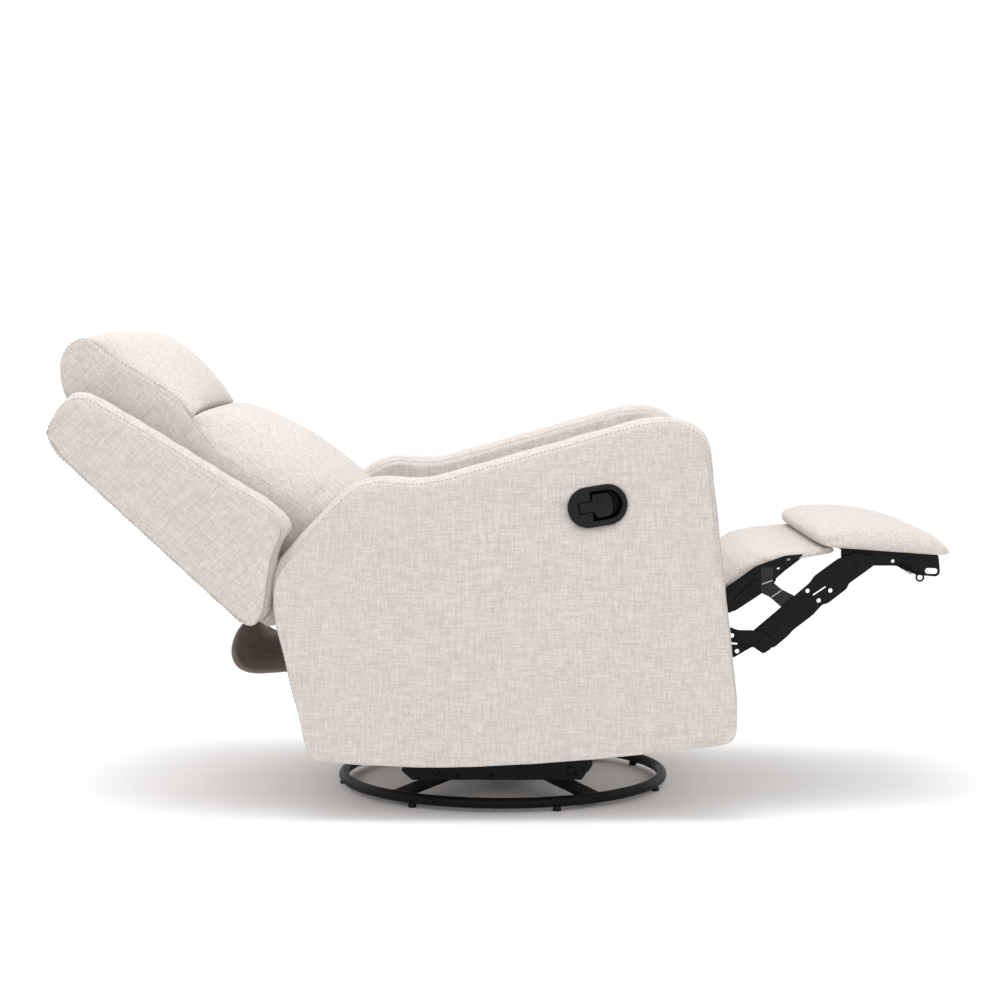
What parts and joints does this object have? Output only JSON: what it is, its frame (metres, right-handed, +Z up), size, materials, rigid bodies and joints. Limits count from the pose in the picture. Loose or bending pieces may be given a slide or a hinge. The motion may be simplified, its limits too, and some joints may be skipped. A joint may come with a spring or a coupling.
{
  "type": "swivel glider recliner",
  "caption": "Upholstered nursery chair that swivels, glides and reclines, shown reclined with its footrest out on a round tube base.",
  "frame": {"origin": "on the floor under the swivel axis, which is also the centre of the base ring and, within a few millimetres, of the reclined chair's outline", "axes": "+X forward along the chair's length in its reclined pose, +Y to the sitter's left across its width, +Z up"},
  "size_m": [1.5693, 0.764, 0.8471],
  "materials": {
    "linen": "matte woven linen look",
    "black_steel": "semi-gloss black",
    "black_plastic": "satin moulded",
    "rubber": "matte",
    "zinc": "zinc plated",
    "timber": "raw plywood"
  },
  "bodies": {
    "base": {"base_ring": "black_steel", "base_cross": "black_steel", "floor_glide_1": "rubber", "floor_glide_2": "rubber", "floor_glide_3": "rubber", "floor_glide_4": "rubber", "floor_glide_5": "rubber", "floor_glide_6": "rubber", "floor_glide_7": "rubber", "swivel_bearing": "zinc"},
    "turntable": {"swivel_frame": "black_steel", "glider_stand_right": "black_steel", "glider_stand_left": "black_steel"},
    "glide_front_right": {"glider_link_front_right": "black_steel"},
    "glide_front_left": {"glider_link_front_left": "black_steel"},
    "glide_rear_right": {"glider_link_rear_right": "black_steel"},
    "glide_rear_left": {"glider_link_rear_left": "black_steel"},
    "chair": {"glider_carrier_right": "black_steel", "glider_carrier_left": "black_steel", "chair_cross_tube_front": "black_steel", "chair_cross_tube_rear": "black_steel", "recliner_plate_right": "black_steel", "recliner_plate_left": "black_steel", "arm_cover_right": "linen", "arm_cover_left": "linen", "arm_board_right": "timber", "arm_board_left": "timber", "release_cup": "black_plastic", "release_cable": "black_plastic", "rear_skirt": "linen"},
    "seat": {"seat_cushion": "linen", "seat_deck": "timber", "seat_front_rail": "timber"},
    "back": {"lumbar_cushion": "linen", "head_cushion": "linen", "outside_back": "linen", "back_rail_lower": "timber", "back_rail_upper": "timber", "back_post_right": "timber", "back_post_left": "timber", "back_wing_right": "linen", "back_wing_left": "linen", "back_bracket_right": "black_steel", "back_bracket_left": "black_steel"},
    "lower_links": {"footrest_lower_link_right": "black_steel", "footrest_lower_link_left": "black_steel", "footrest_torque_tube": "black_steel"},
    "long_links": {"footrest_long_link_right": "black_steel", "footrest_long_link_left": "black_steel"},
    "upper_links": {"footrest_upper_link_right": "black_steel", "footrest_upper_link_left": "black_steel"},
    "struts": {"footrest_strut_right": "black_steel", "footrest_strut_left": "black_steel"},
    "footrest": {"footrest_bracket_right": "black_steel", "footrest_bracket_left": "black_steel", "footrest_board": "timber", "footrest_pad": "linen"},
    "flap": {"footrest_flap": "linen"},
    "paddle": {"release_paddle": "black_plastic"},
    "latch": {"latch_hook": "zinc"}
  },
  "joints": [
    {"name": "swivel", "type": "hinge", "parent": "base", "child": "turntable", "pos_m": [0, 0, 0.052], "axis": [0, 0, 1], "continuous": true},
    {"name": "glide", "type": "hinge", "parent": "turntable", "child": "glide_front_right", "pos_m": [0.118, -0.239, 0.158], "axis": [0, 1, 0], "range_deg": [-24, 24]},
    {"name": "glide_link_front_left", "type": "hinge", "parent": "turntable", "child": "glide_front_left", "pos_m": [0.118, 0.239, 0.158], "axis": [0, 1, 0], "range_deg": [-24, 24]},
    {"name": "glide_link_rear_right", "type": "hinge", "parent": "turntable", "child": "glide_rear_right", "pos_m": [-0.118, -0.239, 0.158], "axis": [0, 1, 0], "range_deg": [-24, 24]},
    {"name": "glide_link_rear_left", "type": "hinge", "parent": "turntable", "child": "glide_rear_left", "pos_m": [-0.118, 0.239, 0.158], "axis": [0, 1, 0], "range_deg": [-24, 24]},
    {"name": "glide_chair_level", "type": "hinge", "parent": "glide_front_right", "child": "chair", "pos_m": [0.118, -0.239, 0.066], "axis": [0, 1, 0], "range_deg": [-24, 24]},
    {"name": "recline", "type": "hinge", "parent": "chair", "child": "back", "pos_m": [-0.181, 0, 0.326], "axis": [0, 1, 0], "range_deg": [0, 25]},
    {"name": "seat_slide", "type": "slide", "parent": "chair", "child": "seat", "axis": [0.9942, 0, 0.108], "range_m": [-0.0302, 0]},
    {"name": "footrest_fold", "type": "hinge", "parent": "chair", "child": "lower_links", "pos_m": [0.275, 0, 0.31], "axis": [0, 1, 0], "range_deg": [0, 132.82]},
    {"name": "long_link_knee", "type": "hinge", "parent": "lower_links", "child": "long_links", "pos_m": [0.448, 0, 0.297], "axis": [0, 1, 0], "range_deg": [-121.1, 0]},
    {"name": "footrest_pivot", "type": "hinge", "parent": "long_links", "child": "footrest", "pos_m": [0.62, 0, 0.433], "axis": [0, 1, 0], "range_deg": [0, 78.28]},
    {"name": "flap_fold", "type": "hinge", "parent": "footrest", "child": "flap", "pos_m": [0.56, 0, 0.452], "axis": [0, 1, 0], "range_deg": [-152.05, 0]},
    {"name": "upper_link_pivot", "type": "hinge", "parent": "chair", "child": "upper_links", "pos_m": [0.33, 0, 0.325], "axis": [0, 1, 0], "range_deg": [0, 156.18]},
    {"name": "strut_pivot", "type": "hinge", "parent": "upper_links", "child": "struts", "pos_m": [0.465, 0, 0.408], "axis": [0, 1, 0], "range_deg": [0, 32.1]},
    {"name": "release_pull", "type": "hinge", "parent": "chair", "child": "paddle", "pos_m": [0.12843, -0.3807, 0.53638], "axis": [0.165, 0, -0.9863], "range_deg": [0, 28], "stiffness_Nm_per_rad": 0.4},
    {"name": "latch_release", "type": "hinge", "parent": "chair", "child": "latch", "pos_m": [0.1, -0.295, 0.24], "axis": [0, 1, 0], "range_deg": [-12.1, 0]}
  ],
  "couplings": [
    {"joint": "glide_link_front_left", "follows": "glide", "ratio": 1},
    {"joint": "glide_link_rear_right", "follows": "glide", "ratio": 1},
    {"joint": "glide_link_rear_left", "follows": "glide", "ratio": 1},
    {"joint": "glide_chair_level", "follows": "glide", "ratio": -1},
    {"joint": "seat_slide", "follows": "recline", "m_per_rad": -0.068755},
    {"joint": "long_link_knee", "follows": "footrest_fold", "ratio": -0.91139},
    {"joint": "footrest_pivot", "follows": "footrest_fold", "ratio": 0.58899},
    {"joint": "flap_fold", "follows": "footrest_fold", "ratio": -1.1444},
    {"joint": "upper_link_pivot", "follows": "footrest_fold", "ratio": 1.1755},
    {"joint": "strut_pivot", "follows": "footrest_fold", "ratio": 0.24129},
    {"joint": "latch_release", "follows": "release_pull", "ratio": -0.42857}
  ]
}
